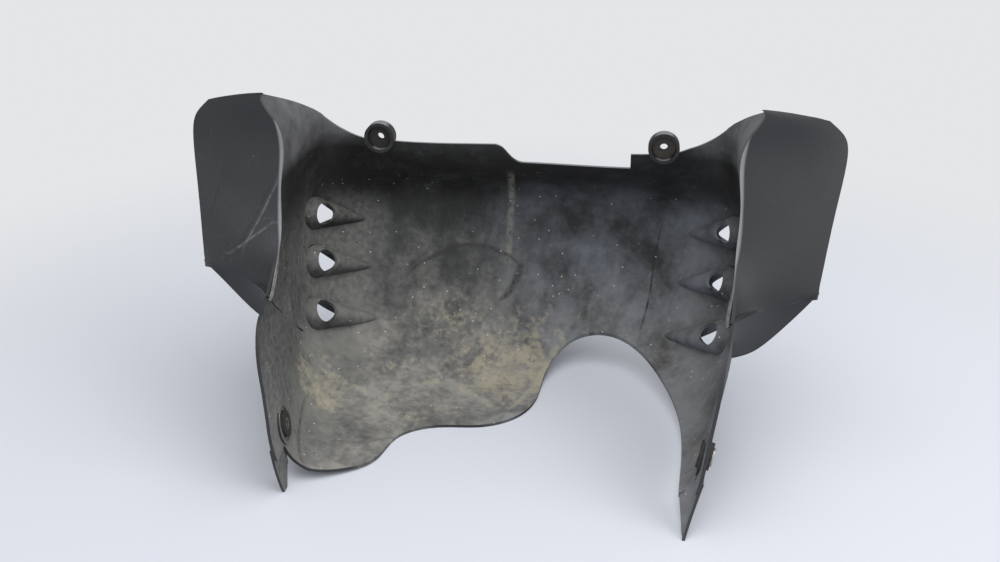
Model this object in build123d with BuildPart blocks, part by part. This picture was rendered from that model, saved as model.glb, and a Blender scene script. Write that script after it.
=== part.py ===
import os

from build123d import *

os.makedirs("parts", exist_ok=True)

# Belly pan of a motorcycle: one thin moulding, standing on its floor and its two leg tips.
# +X is the pan's right as seen from its open rear, +Y points to the chin at the front, +Z is up.
# Forward distances are taken from a datum near the wings; the finished pieces are centred at the end.

# Moulding
wall = 2.5                    # even wall of the bowl, floor and wings
bowl_half_width = 184.0       # inside, at the vent ducts
chin_reach = 182.0            # inside of the chin, forward of the datum
rim_height = 209.0            # top of the rim between the ears
notch_depth = 19.0            # how far the rim is cut down between the ears
notch_left = 21.0             # where the cut starts, left of the middle, and how far it takes to run down
notch_run = 24.0
notch_right = 92.0            # where it steps up again
notch_step = 15.5             # how high that step is
notch_slope = 0.2             # slope at which the cut sets off
notch_past_ear = 8.5          # how far past the right ear's hole the step runs before the rim rises
floor_lap = 2.0               # how far the floor plate runs into the bowl's wall

# Wings
wing_top = 271.0              # highest corner, where wing and side wall meet
wing_lip = 0.6                # how far a wing stands proud of the wall it is folded from
crest_lip = 1.5               # how far the wing overhangs the gusset at the crest

# Ears on the rim
ear_spacing = 237.0           # between the two ear holes
ear_forward = 110.0           # rear face of an ear
ear_height = 212.5
ear_diameter = 25.5
ear_length = 10.0             # along the bolt, through the rim's wall
ear_web = 3.0                 # the web at the front that the grommet grips
ear_web_hole = 13.0
ear_socket = 20.0             # counterbore that takes the grommet's flange

# Vent ducts, three in each side wall
duct_stations = [(122.0, 138.5), (104.5, 99.5), (79.0, 60.5)]    # forward, height
duct_head_radius = 15.0
duct_run = 38.0               # how much further forward its tail ends
duct_drop = 18.0              # how much lower its tail ends
duct_sink = 6.0               # how far outside the wall the tail ends
duct_hole = 19.3
duct_lowest_level = 3         # the ducts lie between these two of the bowl's sections, counted from 0
duct_highest_level = 8

# Legs
leg_bolt_forward = -72.0
leg_bolt_height = 41.0
leg_hole = 14.0
leg_seat_diameter = 32.0      # raised seat on the inside
leg_seat_height = 1.6
leg_seat_width = 3.0          # its rim, round a shallow recess
leg_recess = 0.8
leg_seat_root = 0.8           # how far the seat is sunk in the wall
leg_boss_diameter = 24.0      # flat boss on the outside
leg_boss_height = 1.0
leg_tongue_wall = 2.0         # a tongue's own wall, which starts inside the side wall
tongue_start = -84.0          # forward place where the floor ends and a leg becomes a free tongue
tongue_top = 30.0             # height where the tongue leaves the side wall
tongue_lap = 8.0              # how far it runs up into that wall
tongue_rise = 13.0            # height of its lower edge where it meets the floor
tip_width = 7.0               # blunt end on the ground
leg_tip_left = (149.0, -101.0)     # half width and forward place of each tip, on the ground
leg_tip_right = (143.0, -120.0)

# Rubber grommets and steel collars
grommet_flange = 19.0
grommet_flange_length = 2.0
leg_flange = 20.5
leg_flange_length = 2.6
grommet_bore = 6.5
collar_bore = 6.4
collar_wall = 1.2
collar_flange = 14.0          # the collar's washer face, on the outside
collar_flange_length = 1.2
fit = 0.1                     # clearance of a grommet in its hole and a collar in its grommet

# Level sections of the bowl's inside, from the ground up. Each gives its height, then how far the half
# section is drawn in from the bowl's half width and drawn back from the chin: at the rear end, at the
# wing, amidships, at the front corner and beside the chin, and last the chin's own setback.
sections = [
    (wall, (100, 312), (97, 242), (96, 194), (106, 160), (134, 124), 102),
    (wall + 3, (72, 312), (68, 232), (67, 188), (84, 150), (121, 112), 89),
    (wall + 10.5, (45, 312), (39, 227), (37, 180), (58, 135), (104, 95), 72),
    (31, (32.5, 312), (25.5, 227), (19, 166), (28.5, 116), (86, 69), 47),
    (63, (28, 312), (19, 222), (7, 152), (10, 94), (78, 41), 24),
    (100, (27, 312), (14, 217), (4, 137), (6, 70), (78, 20), 9),
    (141, (26, 312), (14, 220), (3, 132), (1, 56), (77, 8), 0),
    (172, (12, 272), (9.5, 173), (4, 120), (9, 55), (78, 35), 30),
    (205, (9, 232), (9, 164), (8, 116), (18, 63), (72, 65), 63),
    (230, (11, 212), (11, 158), (10, 112), (19, 66), (68, 68), 64),
    (252, (4, 212), (4, 160), (2, 107), (13, 63), (67, 68), 64),
    (275, (2, 212), (2, 161), (0, 107), (11, 62), (67, 68), 64),
]

# Rear edge of a side wall seen from the side, as (forward, height): the fold under the wing, then the leg.
fold = [(21, wing_top), (25, 233), (19, 198), (12, 173), (-1, 154), (-21, 142), (-47, 132), (-68, 129)]
leg_edge = [(-68, 129), (-84, 122), (-92, 108), (-96, 84), (-101, 64), (-105, 40)]

# Top edge of the rim: along the side as (forward, height), then round the front as (half width, height).
rim_slope = [(21, wing_top), (62, 257), (93, 244), (117, 230), (134, 214)]
rim_shoulder = [(172, 236), (160, 221), (148, 213.5), (134, rim_height)]

# A wing's rear face as ribs from the fold to the outer edge: the fold point, then three points, each as
# the distance outside the bowl's half width, the forward place and the height. The last rib is the crest.
wing_ribs = [
    (fold[0], (13, 25.5, 269), (28, 30, 266), (50, 38, 260)),
    ((22.5, 258), (15, 26.5, 256.5), (33, 31.5, 254), (62.5, 42, 248)),
    (fold[1], (7, 28, 233), (27, 31, 232), (65.5, 37, 229)),
    (fold[2], (7, 19.5, 198), (25, 20.5, 198), (59.5, 21.5, 198)),
    (fold[3], (6, 10.5, 173), (23, 9.5, 173), (55, 10, 173)),
    (fold[4], (4, -1, 153), (20, 0, 152), (51.5, 0.5, 151)),
    (fold[5], (0, -10, 139), (17, -4, 137), (50, -3, 143.5)),
    (fold[6], (-5, -27, 129), (13, -6, 127), (48.5, -5.5, 138)),
]
# The gusset under the crest: ribs from the side wall to its free edge, the last one dying out in the wall.
gusset_ribs = [
    ((-22, 112), (2, -8, 113), (15, 1, 114), (38, 8, 117)),
    ((4, 92), (1, 8, 92), (10, 11, 92.5), (22, 13.5, 94)),
    ((30, 72), (0, 31, 72), (3, 31, 72), (9, 29, 73)),
]
gusset_end = (50, 56)
gusset_end_depths = (0.5, 1.0, 1.5, 2.0)     # how deep in the wall the points of that last rib lie

# Cut-out in the floor, seen from above, from the left leg round to the right one.
cutout = [
    (-138, -85), (-112, -72), (-94, -55), (-82, -16), (-53, 4), (-19, 9), (9, 27), (22, 57), (27, 97),
    (45, 124), (72, 128), (104, 111), (130, 69), (142, 25), (143, -40), (143, -140),
]
cutout_height = 50.0

reach = 400.0                 # longer than the pan, for cutting tools that pass right through it
right_share = 0.52            # share of a level's curve that makes the right half, and a little more
leg_tips = {"left": leg_tip_left, "right": leg_tip_right}


# Curve of one level, from its right rear end round the chin to a little past the middle
def level_curve(section, height, grow=0.0):
    _, *half, chin = section
    half_width = bowl_half_width + grow
    forward = chin_reach + grow
    points = [(half_width - inset, forward - setback, height) for inset, setback in half]
    mirrored = [(-x, y, z) for x, y, z in reversed(points)]
    with BuildLine() as line:
        Spline(*points, (0, forward - chin, height), *mirrored)
    return line.edge().trim(0, right_share)


# Face of one level, closed along the rear and the middle
def level_face(section, height, grow):
    curve = level_curve(section, 0, grow)
    with BuildSketch(Plane.XY.offset(height)) as sketch:
        with BuildLine():
            add(curve)
            Polyline(curve @ 1, ((curve @ 1).X, (curve @ 0).Y), curve @ 0)
        make_face()
    return sketch.sketch


# Point on the inside of the right wall, and the direction into the bowl there
def on_wall(forward, height):
    hits = skin.find_intersection_points(Axis((0, forward, height), (1, 0, 0)))
    point, normal = [hit for hit in hits if hit[0].X > 0][0]
    return point, normal if normal.X < 0 else -normal


# Solid wall on the side of a face that the direction points to
def walled(face, direction, thickness=wall):
    facing = face.normal_at(face.position_at(0.5, 0.5)).dot(Vector(*direction))
    return Solid.thicken(face, thickness if facing > 0 else -thickness)


# Face lofted through open ribs, each a list of points
def sheet(ribs):
    wires = []
    for rib in ribs:
        with BuildLine() as line:
            Spline(*rib)
        wires.append(line.wire())
    return Shell.make_loft(wires).face()


# Points of a wing or gusset rib, starting at or in the side wall
def wall_rib(rib, inset):
    (forward, height), *rest = rib
    start, _ = on_wall(forward, height)
    points = [(bowl_half_width + out, place, level) for out, place, level in rest]
    return [(start.X + inset, forward, height), *points]


# What is cut away behind a leg's edge, down to its tip, seen from the side
def leg_tool(tip_forward):
    with BuildPart() as tool:
        with BuildSketch(Plane.YZ):
            with BuildLine():
                heel = Spline(*leg_edge, (tip_forward, 0))
                Polyline(heel @ 1, (tip_forward, -reach), (-reach, -reach), (-reach, wing_top), heel @ 0)
            make_face()
        extrude(amount=reach)
    return tool.part


# Teardrop of revolution along +Z: a ball at the origin drawn out to a tip
def teardrop(radius, length):
    touch = radius / length
    slant = (1 - touch ** 2) ** 0.5
    with BuildPart() as drop:
        with BuildSketch(Plane.XZ):
            with BuildLine():
                ball = ThreePointArc((0, -radius), (radius, 0), (radius * slant, radius * touch))
                Polyline(ball @ 1, (0, length), ball @ 0)
            make_face()
        revolve(axis=Axis.Z)
    return drop.part


# Right half of the bowl: an even wall outside the lofted skin, with the floor closed by a plate
level_wires = [Wire([level_curve(section, section[0])]) for section in sections]
skin = Shell.make_loft(level_wires).face()
with BuildPart() as fold_tool:
    with BuildSketch(Plane.YZ):
        with BuildLine():
            rear_edge = Spline(*[(forward + wall / 2, height) for forward, height in fold])
            Polyline(rear_edge @ 1, (-reach, (rear_edge @ 1).Y), (-reach, reach), ((rear_edge @ 0).X, reach),
                     rear_edge @ 0)
        make_face()
    extrude(amount=reach)
with BuildPart() as rim_tool:
    with BuildSketch(Plane.YZ):
        with BuildLine():
            slope = Spline(*rim_slope)
            Polyline(slope @ 1, (reach, (slope @ 1).Y), (reach, reach), ((slope @ 0).X, reach), slope @ 0)
        make_face()
    extrude(amount=reach)
    with BuildSketch(Plane.XZ):
        with BuildLine():
            shoulder = Spline(*rim_shoulder)
            Polyline(shoulder @ 1, (-reach, (shoulder @ 1).Y), (-reach, reach), ((shoulder @ 0).X, reach),
                     shoulder @ 0)
        make_face()
    extrude(amount=reach, both=True)
with BuildPart() as left_side:
    Box(reach, 2 * reach, 2 * reach, align=(Align.MAX, Align.CENTER, Align.CENTER))
with BuildPart() as half_bowl:
    add(walled(skin, (0, 1, 0)))
    add(level_face(sections[0], 0, floor_lap))
    extrude(amount=wall)
    add([fold_tool.part, rim_tool.part, left_side.part], mode=Mode.SUBTRACT)

# Right wing, folded out of the side wall, and the gusset under its crest
wing_lines = [wall_rib(rib, -wing_lip) for rib in wing_ribs]
crest_line = [(x, y + wall / 2, z + crest_lip) for x, y, z in wall_rib(wing_ribs[-1], wall / 2)]
end, _ = on_wall(*gusset_end)
end_line = [(end.X + depth, end.Y, end.Z) for depth in gusset_end_depths]
gusset_lines = [crest_line] + [wall_rib(rib, wall / 2) for rib in gusset_ribs] + [end_line]
wing = walled(sheet(wing_lines), (0, 1, 0))
gusset = walled(sheet(gusset_lines), (0, 1, 1))

# The bowl's inside as a solid, its faces in the middle of the wall, to trim what stands on the wall
with BuildPart() as air:
    for section in sections[duct_lowest_level:duct_highest_level + 1]:
        add(level_face(section, section[0], wall / 2))
    loft()

# Vent ducts: what each one adds inside the bowl and what it takes away
duct_bumps = []
duct_bores = []
core_radius = duct_head_radius - wall
for forward, height in duct_stations:
    head, inward = on_wall(forward, height)
    tail, tail_inward = on_wall(forward + duct_run, height - duct_drop)
    axis = tail - tail_inward * duct_sink - head
    along = Plane(origin=head, z_dir=axis)
    with BuildPart() as bump:
        with Locations(along):
            add(teardrop(duct_head_radius, axis.length))
        add(air.part, mode=Mode.INTERSECT)
    with BuildPart() as bore:
        with Locations(along):
            add(teardrop(core_radius, axis.length * core_radius / duct_head_radius))
        with Locations(Plane(origin=head, z_dir=inward)):
            Cylinder(duct_hole / 2, 2 * duct_head_radius, align=(Align.CENTER, Align.CENTER, Align.MIN))
    duct_bumps.append(bump.part)
    duct_bores.append(bore.part)

# Bolt holes: each frame's +Z runs along the bolt, forward from an ear's rear face or inward from a leg
ear_plane = Plane(origin=(ear_spacing / 2, ear_forward, ear_height), x_dir=(1, 0, 0), z_dir=(0, 1, 0))
leg_seat, leg_inward = on_wall(leg_bolt_forward, leg_bolt_height)
leg_plane = Plane(origin=leg_seat, z_dir=leg_inward)
leg_outside = -wall - leg_boss_height


# Round step along +Z from one height to another
def turned(diameter, low, high, mode=Mode.ADD):
    with Locations((0, 0, low)):
        Cylinder(diameter / 2, high - low, align=(Align.CENTER, Align.CENTER, Align.MIN), mode=mode)


with BuildPart() as leg_pads:
    turned(leg_seat_diameter, -leg_seat_root, leg_seat_height)
    turned(leg_boss_diameter, leg_outside, -leg_seat_root)
with BuildPart() as leg_bores:
    turned(leg_seat_diameter - 2 * leg_seat_width, leg_recess, leg_seat_diameter)
    turned(leg_hole, leg_outside, leg_recess)
    turned(leg_boss_diameter, 2 * leg_outside, leg_outside)
with BuildPart() as ear_lug:
    turned(ear_diameter, 0, ear_length)
with BuildPart() as ear_bore:
    turned(ear_socket, -ear_length, ear_length - ear_web)
    turned(ear_web_hole, 0, ear_length)
    turned(ear_socket, ear_length, 2 * ear_length)

# Right half of the moulding, with its wing, vent ducts and leg seat
with BuildPart() as half:
    add(half_bowl.part)
    add([wing, gusset, leg_plane * leg_pads.part, *duct_bumps])
    add([leg_plane * leg_bores.part, *duct_bores], mode=Mode.SUBTRACT)

# Leg tongues, straight on from the side walls down to the ground
tongues = []
leg_tools = []
for tip_half_width, tip_forward in leg_tips.values():
    tongue_edges = []
    for forward in (chin_reach - sections[0][1][1], tongue_start + wall):
        start, _ = on_wall(forward, tongue_top + tongue_lap)
        tongue_edges.append((start.X + (wall - leg_tongue_wall) / 2, start.Y, start.Z))
    (rear_x, rear_y, _), (front_x, front_y, _) = tongue_edges
    splay = (front_x - rear_x) / (front_y - rear_y)
    foot = [(tip_half_width + splay * (y - tip_forward), y, 0) for y in (rear_y, front_y)]
    tongue_face = Face.make_surface_from_curves(Edge.make_line(*tongue_edges), Edge.make_line(*foot))
    with BuildPart() as tongue:
        add(walled(tongue_face, (1, 0, 0), leg_tongue_wall))
        with BuildSketch(Plane.YZ):
            with BuildLine():
                Polyline((-reach, 0), (tip_forward + tip_width, 0), (tongue_start, tongue_rise),
                         (0, tongue_top), (0, -reach), (-reach, -reach), close=True)
            make_face()
        extrude(amount=reach, mode=Mode.SUBTRACT)
    tongues.append(tongue.part)
    leg_tools.append(leg_tool(tip_forward))
left_tongue, right_tongue = tongues
left_tool, right_tool = leg_tools

# What differs from left to right: the notch in the rim, the cut-out in the floor, the room for the tongues
with BuildPart() as uneven:
    with BuildSketch(Plane.XZ):
        with BuildLine():
            run_down = Spline((-notch_left, rim_height), (notch_run - notch_left, rim_height - notch_depth),
                              tangents=((1, -notch_slope), (1, 0)))
            low = rim_height - notch_depth
            shoulder_x, shoulder_z = rim_shoulder[-2]
            Polyline(run_down @ 1, (notch_right, low), (notch_right, low + notch_step),
                     (ear_spacing / 2 + notch_past_ear, low + notch_step), (shoulder_x, shoulder_z),
                     (shoulder_x, reach), (-notch_left, reach), run_down @ 0)
        make_face()
    extrude(amount=reach, both=True)
    with BuildSketch():
        with BuildLine():
            edge = Spline(*cutout)
            Polyline(edge @ 1, ((edge @ 1).X, -reach), ((edge @ 0).X, -reach), edge @ 0)
        make_face()
    extrude(amount=cutout_height, both=True)
    with BuildSketch():
        with Locations((0, tongue_start)):
            Rectangle(2 * reach, reach, align=(Align.CENTER, Align.MAX))
    extrude(amount=tongue_top, both=True)

# The whole moulding
ear = ear_plane * ear_lug.part
ear_hole = ear_plane * ear_bore.part
with BuildPart() as pan:
    add(half.part.fuse(half.part.mirror(Plane.YZ), glue=True))
    add(uneven.part, mode=Mode.SUBTRACT)
    add([right_tongue, left_tongue.mirror(Plane.YZ), ear, ear.mirror(Plane.YZ)])
    add([right_tool, left_tool.mirror(Plane.YZ), ear_hole, ear_hole.mirror(Plane.YZ)], mode=Mode.SUBTRACT)

# Rubber grommets, gripping the web of an ear or the wall of a leg between two flanges
with BuildPart() as ear_grommet:
    turned(grommet_flange, ear_length - ear_web - grommet_flange_length, ear_length - ear_web)
    turned(ear_web_hole - 2 * fit, ear_length - ear_web, ear_length)
    turned(grommet_flange, ear_length, ear_length + grommet_flange_length)
    turned(grommet_bore, 0, 2 * ear_length, mode=Mode.SUBTRACT)
collar_diameter = collar_bore + 2 * collar_wall
grommet_outside = leg_outside - leg_flange_length
grommet_inside = leg_recess + leg_flange_length
with BuildPart() as leg_grommet:
    turned(leg_flange, grommet_outside, leg_outside)
    turned(leg_hole - 2 * fit, leg_outside, leg_recess)
    turned(leg_flange, leg_recess, grommet_inside)
    turned(collar_diameter + 2 * fit, grommet_outside, grommet_inside, mode=Mode.SUBTRACT)

# Steel collar through a leg's grommet, its washer face on the outside
with BuildPart() as leg_collar:
    turned(collar_flange, grommet_outside - collar_flange_length, grommet_outside)
    turned(collar_diameter, grommet_outside, grommet_inside)
    turned(collar_bore, grommet_outside - collar_flange_length, grommet_inside, mode=Mode.SUBTRACT)

# Pieces in place, centred over the ground
pieces = {"belly_pan": pan.part}
for name, plane, piece in (("ear_grommet", ear_plane, ear_grommet), ("leg_grommet", leg_plane, leg_grommet),
                           ("leg_collar", leg_plane, leg_collar)):
    placed = plane * piece.part
    pieces[name + "_right"] = placed
    pieces[name + "_left"] = placed.mirror(Plane.YZ)
box = Compound(children=list(pieces.values())).bounding_box()
centring = Location((-box.center().X, -box.center().Y, -box.min.Z))
for name, piece in pieces.items():
    with BuildPart(centring) as centred:
        add(piece)
    centred.part.label = name
    export_step(centred.part, "parts/" + name + ".step")
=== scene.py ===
import math

import bpy
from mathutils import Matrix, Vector


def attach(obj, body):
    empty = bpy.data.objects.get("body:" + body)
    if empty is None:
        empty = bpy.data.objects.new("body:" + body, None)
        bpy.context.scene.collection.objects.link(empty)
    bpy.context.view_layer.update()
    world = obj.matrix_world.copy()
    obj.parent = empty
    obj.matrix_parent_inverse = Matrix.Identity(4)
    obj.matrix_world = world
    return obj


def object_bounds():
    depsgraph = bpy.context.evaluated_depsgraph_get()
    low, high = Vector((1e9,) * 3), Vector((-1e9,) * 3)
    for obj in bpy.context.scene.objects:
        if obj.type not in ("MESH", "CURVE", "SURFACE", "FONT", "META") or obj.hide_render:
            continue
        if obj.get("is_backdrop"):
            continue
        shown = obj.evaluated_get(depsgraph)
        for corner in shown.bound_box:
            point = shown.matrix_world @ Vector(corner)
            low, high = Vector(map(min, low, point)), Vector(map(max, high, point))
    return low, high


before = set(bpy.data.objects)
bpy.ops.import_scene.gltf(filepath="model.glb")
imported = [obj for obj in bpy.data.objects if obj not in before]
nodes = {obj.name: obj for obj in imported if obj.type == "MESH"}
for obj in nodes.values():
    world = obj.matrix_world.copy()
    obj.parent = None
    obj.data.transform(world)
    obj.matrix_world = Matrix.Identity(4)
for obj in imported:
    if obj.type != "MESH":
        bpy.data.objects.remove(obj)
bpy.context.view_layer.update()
bpy.context.scene.view_settings.view_transform = "Standard"
print("frame loaded:", len(nodes), "nodes")

# settings that many nodes share, and the sockets of a colour Mix node
multiply = {"operation": "MULTIPLY"}
multiplyAdd = {"operation": "MULTIPLY_ADD"}
subtract = {"operation": "SUBTRACT"}
absolute = {"operation": "ABSOLUTE"}
largest = {"operation": "MAXIMUM"}
smooth = {"interpolation_type": "SMOOTHSTEP"}
inColour = {"data_type": "RGBA"}
factor, under, over, mixed = 0, 6, 7, 2


def fromHex(code):  # sRGB hex to linear colour
    parts = [int(code[i:i + 2], 16) / 255 for i in (1, 3, 5)]
    return [p / 12.92 if p <= 0.04045 else ((p + 0.055) / 1.055) ** 2.4 for p in parts] + [1.0]


def span(start, end, least=0.0, most=1.0):  # where a mask starts and ends, and what it gives there
    return {"From Min": start, "From Max": end, "To Min": least, "To Max": most}


def addNode(tree, kind, settings=None, values=None, links=None):  # one node with its settings and links
    node = tree.nodes.new("ShaderNode" + kind)
    for name, value in (settings or {}).items():
        setattr(node, name, value)
    for name, value in (values or {}).items():
        node.inputs[name].default_value = value
    for name, source in (links or {}).items():
        wholeNode = isinstance(source, bpy.types.Node)  # stands for its first output
        tree.links.new(source.outputs[0] if wholeNode else source, node.inputs[name])
    return node


def newMaterial(name):
    material = bpy.data.materials.new(name)
    material.use_nodes = True
    material.node_tree.nodes.clear()
    return material, material.node_tree


def lay(node, material):  # gives a CAD node its finish
    node.data.materials.clear()
    node.data.materials.append(material)


def addObject(name, data):
    made = bpy.data.objects.new(name, data)
    bpy.context.scene.collection.objects.link(made)
    return made


def millimetres(tree):  # place on the piece in mm, and the way its surface faces
    coords = addNode(tree, "TexCoord")
    place = addNode(tree, "VectorMath", {"operation": "SCALE"}, {"Scale": 1000},  # metres to mm
                    {0: coords.outputs["Object"]})
    return place.outputs[0], coords.outputs["Normal"]


# camera, solved from the picture's vanishing lines and the pan's mirrored halves
camera = dict(eye=(0.1006, -0.77879, 0.4685), pitchDown=23.79, yawLeft=7.75,
              lens=38.88, sensor=36, nearest=0.01)
cameraData = bpy.data.cameras.new("camera")
cameraData.lens = camera["lens"]
cameraData.sensor_width = camera["sensor"]
cameraData.clip_start = camera["nearest"]
cameraObject = addObject("camera", cameraData)
cameraObject.location = camera["eye"]
cameraObject.rotation_euler = (math.radians(90 - camera["pitchDown"]), 0, math.radians(camera["yawLeft"]))
bpy.context.scene.camera = cameraObject
print("camera set")

# one pale floor: cool white round the pan, turning further out to a plain white that the lamps don't shade
stage = dict(near="#d3d6de", far="#e4e6e8", sky="#eef1f5", skyLight=0.5, roughness=0.7,
             turnsFrom=300, turnsTo=850, reach=6.0)  # turns in mm, reach in metres
floorMesh = bpy.data.meshes.new("floor")
far = stage["reach"]
floorMesh.from_pydata([(-far, -far, 0), (far, -far, 0), (far, far, 0), (-far, far, 0)], [], [(0, 1, 2, 3)])
floor = addObject("floor", floorMesh)
floorMaterial, tree = newMaterial("paleFloor")
place, _ = millimetres(tree)
outward = addNode(tree, "VectorMath", {"operation": "LENGTH"}, links={0: place})
past = addNode(tree, "MapRange", smooth, span(stage["turnsFrom"], stage["turnsTo"]),
               {"Value": outward.outputs["Value"]})
ray = addNode(tree, "LightPath")
seen = addNode(tree, "Math", largest,
               links={0: ray.outputs["Is Camera Ray"], 1: ray.outputs["Is Glossy Ray"]})
plain = addNode(tree, "Math", multiply, links={0: past, 1: seen})
lit = addNode(tree, "BsdfPrincipled",
              values={"Base Color": fromHex(stage["near"]), "Roughness": stage["roughness"]})
unlit = addNode(tree, "Emission", values={"Color": fromHex(stage["far"])})
surface = addNode(tree, "MixShader", links={0: plain, 1: lit, 2: unlit})
addNode(tree, "OutputMaterial", links={"Surface": surface})
floorMesh.materials.append(floorMaterial)
floor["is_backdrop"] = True
print("floor set")

# soft studio light: a wide panel overhead, one at the right and a weak one in front
lamps = dict(
    overhead=dict(place=(0.25, -0.35, 1.8), aim=(0, 0.05, 0.1), size=(2.6, 2.0), power=30),
    right=dict(place=(1.8, -0.9, 0.95), aim=(-0.1, 0, 0.1), size=(1.6, 1.4), power=17),
    front=dict(place=(-0.2, -2.2, 1.1), aim=(0, 0, 0.1), size=(2.2, 1.4), power=9),
)
for name, lamp in lamps.items():
    light = bpy.data.lights.new(name, "AREA")
    light.shape = "RECTANGLE"
    light.size, light.size_y = lamp["size"]
    light.energy = lamp["power"]
    lampObject = addObject(name, light)
    lampObject.location = lamp["place"]
    ahead = Vector(lamp["aim"]) - Vector(lamp["place"])
    lampObject.rotation_euler = ahead.to_track_quat("-Z", "Y").to_euler()
world = bpy.data.worlds.new("studio")
world.use_nodes = True
tree = world.node_tree
tree.nodes.clear()
ray = addNode(tree, "LightPath")
sky = addNode(tree, "Background", values={"Color": fromHex(stage["sky"]), "Strength": stage["skyLight"]})
backdrop = addNode(tree, "Background", values={"Color": fromHex(stage["far"]), "Strength": 1.0})
shown = addNode(tree, "MixShader", links={0: ray.outputs["Is Camera Ray"], 1: sky, 2: backdrop})
addNode(tree, "OutputWorld", links={"Surface": shown})
bpy.context.scene.world = world
print("lamps set")

# ABS, injection moulded with a satin grain, then years of road dust and dried mud on the inside.
# The eye gets a soft charcoal sheen outside, and a dull grey-brown bloom with pale specks inside.
# Lengths are in mm. Pairs say where a layer starts and where it is full.
panFinish = dict(
    plastic=["#222325", "#2d2e31"],
    centre=(0, -13, 120), turn=(-5, 5),  # what faces this point is inside
    wing=dict(side=(168, 176), lean=(0.2, 0.45), forward=(34, 24)),  # both faces of the wings
    cloud=45, fine=5, grain=1.3, drip=(8, 50),
    dust=dict(tones=["#181818", "#292a2a", "#474848", "#6b6a67", "#8c8a83"], height=(205, 15), up=(-0.1, 1.0),
              heightShare=0.6, upShare=0.24, cloudShare=1.3, dripShare=0.5, fineShare=0.45),
    # painted reflection of cool light, a bluish grey over dust, on the right of the chin
    dustAndCoolReflection=dict(colour="#777d88", height=(175, 135), side=(-60, 40), cloud=(0.35, 0.7), strength=0.7),
    # grey dust on the side walls below the shoulder; less on the right wall, which paints light on the left
    # one, and less on what faces down, which paints shade under the vent bumps
    wallDustLightAndShade=dict(colour="#73736f", side=(115, 160), height=(178, 140), hand=(60, -60), rightShare=0.4,
                  fine=(0.3, 0.68), shares=(0.25, 0.9), up=(-0.45, 0.35)),
    # painted light: pale grey on the ledges at the rim's corners
    ledgeLight=dict(colour="#6f6f70", height=(200, 214), side=(125, 150), cloud=(0.25, 0.6), strength=0.8),
    mud=dict(colour="#aaa28b", lump=17, placeShare=0.34, fineShare=0.45, cut=(0.9, 1.14),
             strength=0.72, core=0.2),
    dots=dict(pit=dict(colour="#1a1a19", gap=11, size=0.6), speck=dict(colour="#d5d2c8", gap=7, size=0.75)),
    dotsLeftOut=0.6, dotHeight=(185, 140),
    scratch=dict(turns=(35, -28), width=1.4, length=70, cut=(0.66, 0.8), strength=0.4,
                 cloud=(0.5, 0.65), hand=(60, -60), rightShare=0.25),
    # the dark crack tone also paints shade in the fold where the floor meets the left wall
    markTones=dict(streak="#8e8c82", stain="#2c2b29", crackAndCreaseShade="#141414", scratch="#77787c"),
    markBreaks=(0.3, 0.6),
    # painted highlights: pale on the fold of each wing and on what faces up at the top of the rim
    paintedHighlight=dict(colour="#96979a", foldWidth=1.8, foldSideWidth=2.8, foldStrength=0.7,
              rimUp=(0.75, 0.92), rimHeight=(183, 187), rimStrength=0.55),
    roughness=(0.6, 0.88), roughDust=0.8, bump=dict(mud=0.9, strength=0.5, metres=0.0004), ior=1.5)
# dried mud: middle of each patch, its reach and strength
mudPatches = [((2, 62, 12), 90, 1.0), ((-155, -12, 28), 46, 0.9),
              ((-85, 10, 6), 95, 0.45), ((-60, 95, 35), 60, 0.5)]
# marks that follow a line on the wall: the axis they run along, the axis they wander in, and points on both
marks = dict(
    streak=dict(side="inside", along=2, across=0,
                points=[(84, -16), (110, -16), (137, -15), (173, -12)],
                width=4.5, tone="streak", strength=0.7),
    stainTop=dict(side="inside", along=0, across=2,
                  points=[(-108, 72), (-79, 89), (-52, 96), (-24, 91), (-5, 80)],
                  width=3, tone="stain", strength=0.75),
    stainSide=dict(side="inside", along=2, across=0,
                   points=[(48, -24), (63, -10), (80, -4)],
                   width=5.5, tone="stain", strength=0.9),
    crackRight=dict(side="inside", along=2, across=0,
                    points=[(42, 108), (72, 115), (94, 117), (125, 122)],
                    width=1.5, tone="crackAndCreaseShade", strength=0.85),
    leftWingLong=dict(side="wing", along=2, across=0,
                      points=[(176, -231), (193, -226), (212, -222)],
                      width=1.6, tone="crackAndCreaseShade", strength=0.5),
    leftWingDouble=dict(side="wing", along=2, across=0,
                        points=[(153, -207), (171, -197), (187, -189), (201, -182)],
                        width=2.2, tone="crackAndCreaseShade", strength=0.5),
    leftWingPale=dict(side="wing", along=2, across=0,
                      points=[(153, -203), (171, -193), (187, -185), (201, -178)],
                      width=1.5, tone="scratch", strength=0.45),
    leftWingLow=dict(side="wing", along=0, across=2,
                     points=[(-214, 148), (-194, 162), (-181, 171)],
                     width=1.6, tone="scratch", strength=0.5),
    # painted shade in the fold where the floor meets the left wall
    floorFoldShade=dict(side="inside", along=1, across=2,
                   points=[(-116, 13), (-94, 19), (-69, 22), (-39, 25)],
                   width=2.2, tone="crackAndCreaseShade", strength=0.55, below=-120),
)
# the fold of a wing by height, then how far forward and how far sideways it lies
foldLine = [(129, -101), (142, -54), (154, -34), (173, -21), (198, -14), (233, -8), (271, -12)]
foldSide = [(129, 160), (142, 170), (154, 172), (173, 175), (198, 175), (233, 174), (271, 183.5)]


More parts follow.
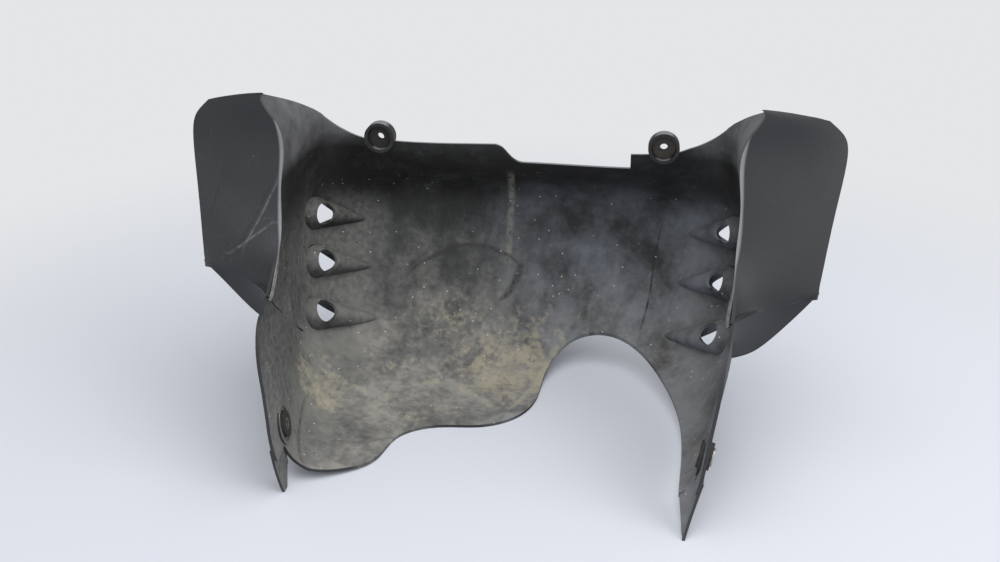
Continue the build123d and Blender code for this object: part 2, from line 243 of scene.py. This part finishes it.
def markMask(tree, along, across, points, width, fade=7, core=0.2):  # soft line through points, in mm
    first, last = points[0][0], points[-1][0]
    lowest = min(p[1] for p in points)
    spread = max(max(p[1] for p in points) - lowest, 1)
    share = addNode(tree, "MapRange", values=span(first, last), links={"Value": along})
    curve = addNode(tree, "FloatCurve", links={"Value": share})
    line = curve.mapping.curves[0]
    spots = [((a - first) / (last - first), (b - lowest) / spread) for a, b in points]
    line.points[0].location, line.points[1].location = spots[0], spots[-1]
    for spot in spots[1:-1]:
        line.points.new(*spot)
    curve.mapping.update()
    wanted = addNode(tree, "MapRange", values=span(0, 1, lowest, lowest + spread), links={"Value": curve})
    off = addNode(tree, "Math", subtract, links={0: across, 1: wanted})
    gap = addNode(tree, "Math", absolute, links={0: off})
    near = addNode(tree, "MapRange", smooth, span(width, width * core), {"Value": gap})
    half = abs(last - first) / 2
    fromMiddle = addNode(tree, "Math", subtract, {1: (first + last) / 2}, {0: along})
    reachOut = addNode(tree, "Math", absolute, links={0: fromMiddle})
    ends = addNode(tree, "MapRange", values=span(half + fade, half - fade), links={"Value": reachOut})
    return addNode(tree, "Math", multiply, links={0: near, 1: ends})


panMaterial, tree = newMaterial("mouldedAbsRoadWorn")
place, facing = millimetres(tree)
axes = addNode(tree, "SeparateXYZ", links={0: place}).outputs
faces = addNode(tree, "SeparateXYZ", links={0: facing}).outputs
x, y, z = axes
inward = addNode(tree, "VectorMath", subtract, {0: panFinish["centre"]}, {1: place})
towards = addNode(tree, "VectorMath", {"operation": "DOT_PRODUCT"}, links={0: facing, 1: inward})
innerSide = addNode(tree, "MapRange", values=span(*panFinish["turn"]),
                    links={"Value": towards.outputs["Value"]})
sideways = addNode(tree, "Math", absolute, links={0: x})
lengthways = addNode(tree, "Math", absolute, links={0: faces[1]})
rule = panFinish["wing"]
wing = addNode(tree, "MapRange", values=span(*rule["side"]), links={"Value": sideways})
for limits, source in ((rule["lean"], lengthways), (rule["forward"], y)):
    part = addNode(tree, "MapRange", values=span(*limits), links={"Value": source})
    wing = addNode(tree, "Math", multiply, links={0: wing, 1: part})
notWing = addNode(tree, "Math", subtract, {0: 1.0}, {1: wing})
inside = addNode(tree, "Math", multiply, links={0: innerSide, 1: notWing})

# the patterns, each as coarse as its size in mm says
cloud = addNode(tree, "TexNoise", values={"Scale": 1 / panFinish["cloud"], "Detail": 6, "Roughness": 0.62},
                links={"Vector": place})
fine = addNode(tree, "TexNoise", values={"Scale": 1 / panFinish["fine"], "Detail": 4, "Roughness": 0.6},
               links={"Vector": place})
grain = addNode(tree, "TexNoise", values={"Scale": 1 / panFinish["grain"], "Detail": 2},
                links={"Vector": place})
narrow, tall = [1 / length for length in panFinish["drip"]]
drawn = addNode(tree, "VectorMath", multiply, {1: (narrow, narrow, tall)}, {0: place})
drip = addNode(tree, "TexNoise", values={"Scale": 1, "Detail": 3}, links={"Vector": drawn})

# dust grows towards the floor and on what faces up
rule = panFinish["dust"]
lowDown = addNode(tree, "MapRange", smooth, span(*rule["height"]), {"Value": z})
upward = addNode(tree, "MapRange", values=span(*rule["up"]), links={"Value": faces[2]})
dust = addNode(tree, "Math", multiply, {1: rule["heightShare"]}, {0: lowDown})
for source, weight, middle in ((upward, rule["upShare"], 0), (cloud, rule["cloudShare"], 0.5),
                               (drip, rule["dripShare"], 0.5), (fine, rule["fineShare"], 0.5)):
    centred = addNode(tree, "Math", subtract, {1: middle}, {0: source})
    dust = addNode(tree, "Math", multiplyAdd, {1: weight}, {0: centred, 2: dust})
dustTone = addNode(tree, "ValToRGB", links={0: dust})
stops = dustTone.color_ramp.elements
lastStop = len(rule["tones"]) - 1
for i in range(1, lastStop):
    stops.new(i / lastStop)
for stop, code in zip(stops, rule["tones"]):
    stop.color = fromHex(code)

# layers of the inside, each where a few masks meet: grey dust with a painted reflection of cool light on the
# right of the chin, side walls paler with dust below the shoulder, the left one more as painted light and
# darker under what faces down as painted shade, and painted light on the ledges at the rim's corners
dustAndCoolReflection, walls, ledgeLight = panFinish["dustAndCoolReflection"], panFinish["wallDustLightAndShade"], panFinish["ledgeLight"]
layerParts = dict(
    # painted reflection of cool light over grey dust
    dustAndCoolReflection=[(smooth, span(*dustAndCoolReflection["height"]), z), (smooth, span(*dustAndCoolReflection["side"]), x),
          (None, span(*dustAndCoolReflection["cloud"], 0, dustAndCoolReflection["strength"]), cloud)],
    wallDustLightAndShade=[(smooth, span(*walls["side"]), sideways), (smooth, span(*walls["height"]), z),
              # less on the right wall: painted light on the left one
              (None, span(*walls["hand"], walls["rightShare"]), x),
              # the last part, by upward facing, paints shade under the vent bumps
              (None, span(*walls["fine"], *walls["shares"]), fine), (None, span(*walls["up"]), faces[2])],
    # painted light on the ledges
    ledgeLight=[(None, span(*ledgeLight["height"]), z), (None, span(*ledgeLight["side"]), sideways),
           (None, span(*ledgeLight["cloud"], 0, ledgeLight["strength"]), cloud)],
)
layers = {}
for name, parts in layerParts.items():
    layers[name] = inside
    for settings, limits, source in parts:
        part = addNode(tree, "MapRange", settings, limits, {"Value": source})
        layers[name] = addNode(tree, "Math", multiply, links={0: layers[name], 1: part})

# mud lies in patches on the floor
rule = panFinish["mud"]
patches = []
for middle, spread, strength in mudPatches:
    gap = addNode(tree, "VectorMath", {"operation": "DISTANCE"}, {1: middle}, {0: place})
    patches.append(addNode(tree, "MapRange", smooth, span(spread, spread * rule["core"], 0, strength),
                           {"Value": gap.outputs["Value"]}))
mudPlace = patches[0]
for patch in patches[1:]:
    mudPlace = addNode(tree, "Math", largest, links={0: mudPlace, 1: patch})
lump = addNode(tree, "TexNoise", values={"Scale": 1 / rule["lump"], "Detail": 6, "Roughness": 0.68},
               links={"Vector": place})
mudSum = addNode(tree, "Math", multiplyAdd, {1: rule["placeShare"]}, {0: mudPlace, 2: lump})
mudEdge = addNode(tree, "Math", multiplyAdd, {1: rule["fineShare"]}, {0: fine, 2: mudSum})
mudCut = addNode(tree, "MapRange", values=span(*rule["cut"], 0, rule["strength"]), links={"Value": mudEdge})
layers["mud"] = addNode(tree, "Math", multiply, links={0: mudCut, 1: inside})

# pits and specks: small dots in four of ten cells, fading out towards the rim
dotLow = addNode(tree, "MapRange", values=span(*panFinish["dotHeight"]), links={"Value": z})
dots = {}
for name, rule in panFinish["dots"].items():
    radius = rule["size"] / rule["gap"]
    cells = addNode(tree, "TexVoronoi", values={"Scale": 1 / rule["gap"]}, links={"Vector": place})
    chance = addNode(tree, "SeparateColor", links={0: cells.outputs["Color"]})
    kept = addNode(tree, "Math", {"operation": "GREATER_THAN"}, {1: panFinish["dotsLeftOut"]}, {0: chance})
    dots[name] = addNode(tree, "MapRange", values=span(radius, radius / 2),
                         links={"Value": cells.outputs["Distance"]})
    for part in (kept, dotLow, inside):
        dots[name] = addNode(tree, "Math", multiply, links={0: dots[name], 1: part})

# outside and wings: faint mottling and crossing scratches, more of them on the left
dark, pale = [fromHex(code) for code in panFinish["plastic"]]
mottled = addNode(tree, "Mix", inColour, {under: dark, over: pale}, {factor: cloud})
rule = panFinish["scratch"]
narrow, tall = 1 / rule["width"], 1 / rule["length"]
cuts = []
for turn in rule["turns"]:
    laid = addNode(tree, "Mapping", links={"Vector": place}, values={
        "Rotation": (0, math.radians(turn), 0), "Scale": (narrow, narrow, tall)})
    lines = addNode(tree, "TexNoise", values={"Scale": 1, "Detail": 2}, links={"Vector": laid})
    cuts.append(addNode(tree, "MapRange", values=span(*rule["cut"], 0, rule["strength"]),
                        links={"Value": lines}))
scratches = addNode(tree, "Math", largest, links={0: cuts[0], 1: cuts[1]})
for limits, source in ((span(*rule["cloud"]), cloud), (span(*rule["hand"], rule["rightShare"]), x)):
    part = addNode(tree, "MapRange", values=limits, links={"Value": source})
    scratches = addNode(tree, "Math", multiply, links={0: scratches, 1: part})

# painted highlights: a pale line along the fold of each wing, and pale on what faces up at the top of the rim
rule = panFinish["paintedHighlight"]
foldForward = markMask(tree, z, y, foldLine, rule["foldWidth"])
foldAcross = markMask(tree, z, sideways, foldSide, rule["foldSideWidth"])
fold = addNode(tree, "Math", multiply, {1: rule["foldStrength"]}, {0: foldForward})
fold = addNode(tree, "Math", multiply, links={0: fold, 1: foldAcross})
# pale on what faces up high on the rim: painted highlight
rimUp = addNode(tree, "MapRange", values=span(*rule["rimUp"], 0, rule["rimStrength"]),
                links={"Value": faces[2]})
rimHigh = addNode(tree, "MapRange", values=span(*rule["rimHeight"]), links={"Value": z})
rim = addNode(tree, "Math", multiply, links={0: rimUp, 1: rimHigh})
highlightEdges = addNode(tree, "Math", largest, links={0: fold, 1: rim})

# the colour, layer on layer
coats = [(panFinish[name]["colour"], layers[name]) for name in ("dustAndCoolReflection", "wallDustLightAndShade", "ledgeLight", "mud")]
sides = dict(inside=inside, wing=wing)
for mark in marks.values():
    shown = markMask(tree, axes[mark["along"]], axes[mark["across"]], mark["points"], mark["width"])
    if "below" in mark:
        left = addNode(tree, "Math", {"operation": "LESS_THAN"}, {1: mark["below"]}, {0: x})
        shown = addNode(tree, "Math", multiply, links={0: shown, 1: left})
    breaks = addNode(tree, "MapRange", values=span(*panFinish["markBreaks"], 0, mark["strength"]),
                     links={"Value": fine})
    for part in (breaks, sides[mark["side"]]):
        shown = addNode(tree, "Math", multiply, links={0: shown, 1: part})
    coats.append((panFinish["markTones"][mark["tone"]], shown))
coats += [(panFinish["dots"][name]["colour"], dots[name]) for name in ("pit", "speck")]
# painted highlights on the wing folds and the rim top
coats.append((panFinish["paintedHighlight"]["colour"], highlightEdges))
colour = addNode(tree, "Mix", inColour, {over: fromHex(panFinish["markTones"]["scratch"])},
                 {factor: scratches, under: mottled.outputs[mixed]})
colour = addNode(tree, "Mix", inColour, links={factor: inside, under: colour.outputs[mixed], over: dustTone})
for code, mask in coats:
    colour = addNode(tree, "Mix", inColour, {over: fromHex(code)},
                     {factor: mask, under: colour.outputs[mixed]})

dusty = addNode(tree, "Math", multiply, links={0: dust, 1: inside})
roughness = addNode(tree, "MapRange", values=span(0, panFinish["roughDust"], *panFinish["roughness"]),
                    links={"Value": dusty})
rule = panFinish["bump"]
height = addNode(tree, "Math", multiplyAdd, {1: rule["mud"]}, {0: layers["mud"], 2: grain})
bump = addNode(tree, "Bump", values={"Strength": rule["strength"], "Distance": rule["metres"]},
               links={"Height": height})
shader = addNode(tree, "BsdfPrincipled", values={"IOR": panFinish["ior"]},
                 links={"Base Color": colour.outputs[mixed], "Roughness": roughness, "Normal": bump})
addNode(tree, "OutputMaterial", links={"Surface": shader})
lay(nodes["belly_pan"], panMaterial)
print("pan finish laid,", len(tree.nodes), "nodes")

# the right leg runs on to its tip without a break, so a web closes the step between the floor strip
# and the tongue. Its upper face runs from one row of points (sideways, height) to another, all in mm.
legWeb = dict(top=[(140.6, 14.6), (144.2, 18.0), (147.8, 22.6), (150.6, 27.2), (153.4, 31.0)],
              tip=[(143.0, 0.9), (143.7, 2.7), (144.4, 4.5), (145.1, 6.1), (145.9, 7.3)],
              topForward=-113.5, tipForward=-147, wall=1.6, lean=0.7, lowest=0.05, steps=12)
webPoints = []
webFaces = []
for below in (0, legWeb["wall"]):
    for i in range(legWeb["steps"] + 1):
        share = i / legWeb["steps"]
        forward = legWeb["topForward"] * (1 - share) + legWeb["tipForward"] * share
        for (topSide, topHeight), (tipSide, tipHeight) in zip(legWeb["top"], legWeb["tip"]):
            side = topSide * (1 - share) + tipSide * share + below * legWeb["lean"]
            high = max(topHeight * (1 - share) + tipHeight * share - below, legWeb["lowest"])
            webPoints.append((side / 1000, forward / 1000, high / 1000))
row = len(legWeb["top"])
sheet = row * (legWeb["steps"] + 1)
for i in range(legWeb["steps"]):
    for a in range(i * row, i * row + row - 1):  # upper and lower face
        webFaces.append((a, a + 1, a + 1 + row, a + row))
        webFaces.append((sheet + a, sheet + a + row, sheet + a + 1 + row, sheet + a + 1))
    for a, turn in ((i * row, 1), (i * row + row - 1, -1)):  # the two long edges
        webFaces.append((a, a + row, sheet + a + row, sheet + a)[::turn])
for first, turn in ((0, -1), (sheet - row, 1)):  # the two ends
    for a in range(first, first + row - 1):
        webFaces.append((a, a + 1, sheet + a + 1, sheet + a)[::turn])
webMesh = bpy.data.meshes.new("rightLegWeb")
webMesh.from_pydata(webPoints, [], webFaces)
webMesh.validate()
webMesh.flip_normals()
web = addObject("rightLegWeb", webMesh)
web.data.materials.append(panMaterial)
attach(web, "root")
print("leg web made")

# EPDM rubber, moulded: a matt black with no sheen, and a brown film of dust, thicker on the right-hand pieces
rubberFinish = dict(rubber="#161616", dust="#5a544b", grain=3, hand=(-1, 1), shares=(0.25, 0.8),
                    roughness=0.75, ior=1.5, bump=0.3, bumpMetres=0.0003)
rubberMaterial, tree = newMaterial("mouldedEpdmRubber")
place, _ = millimetres(tree)
axes = addNode(tree, "SeparateXYZ", links={0: place}).outputs
film = addNode(tree, "TexNoise", values={"Scale": 1 / rubberFinish["grain"], "Detail": 4},
               links={"Vector": place})
rightHand = addNode(tree, "MapRange", values=span(*rubberFinish["hand"], *rubberFinish["shares"]),
                    links={"Value": axes[0]})
amount = addNode(tree, "Math", multiply, links={0: film, 1: rightHand})
tone = addNode(tree, "Mix", inColour, links={factor: amount}, values={
    under: fromHex(rubberFinish["rubber"]), over: fromHex(rubberFinish["dust"])})
bump = addNode(tree, "Bump", links={"Height": film}, values={
    "Strength": rubberFinish["bump"], "Distance": rubberFinish["bumpMetres"]})
shader = addNode(tree, "BsdfPrincipled",
                 values={"Roughness": rubberFinish["roughness"], "IOR": rubberFinish["ior"]},
                 links={"Base Color": tone.outputs[mixed], "Normal": bump})
addNode(tree, "OutputMaterial", links={"Surface": shader})

# zinc-plated steel, turned: bright, slightly rough metal with dull spots
steelFinish = dict(zinc="#c4c4c0", dull="#8f8c85", spot=2, roughness=(0.22, 0.5))
steelMaterial, tree = newMaterial("turnedZincSteel")
place, _ = millimetres(tree)
spots = addNode(tree, "TexNoise", values={"Scale": 1 / steelFinish["spot"], "Detail": 3},
                links={"Vector": place})
tone = addNode(tree, "Mix", inColour, links={factor: spots}, values={
    under: fromHex(steelFinish["zinc"]), over: fromHex(steelFinish["dull"])})
roughness = addNode(tree, "MapRange", values=span(0, 1, *steelFinish["roughness"]), links={"Value": spots})
shader = addNode(tree, "BsdfPrincipled", values={"Metallic": 1.0},
                 links={"Base Color": tone.outputs[mixed], "Roughness": roughness})
addNode(tree, "OutputMaterial", links={"Surface": shader})
for side in ("left", "right"):
    lay(nodes["ear_grommet_" + side], rubberMaterial)
    lay(nodes["leg_grommet_" + side], rubberMaterial)
    lay(nodes["leg_collar_" + side], steelMaterial)
print("rubber and steel laid")

low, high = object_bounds()
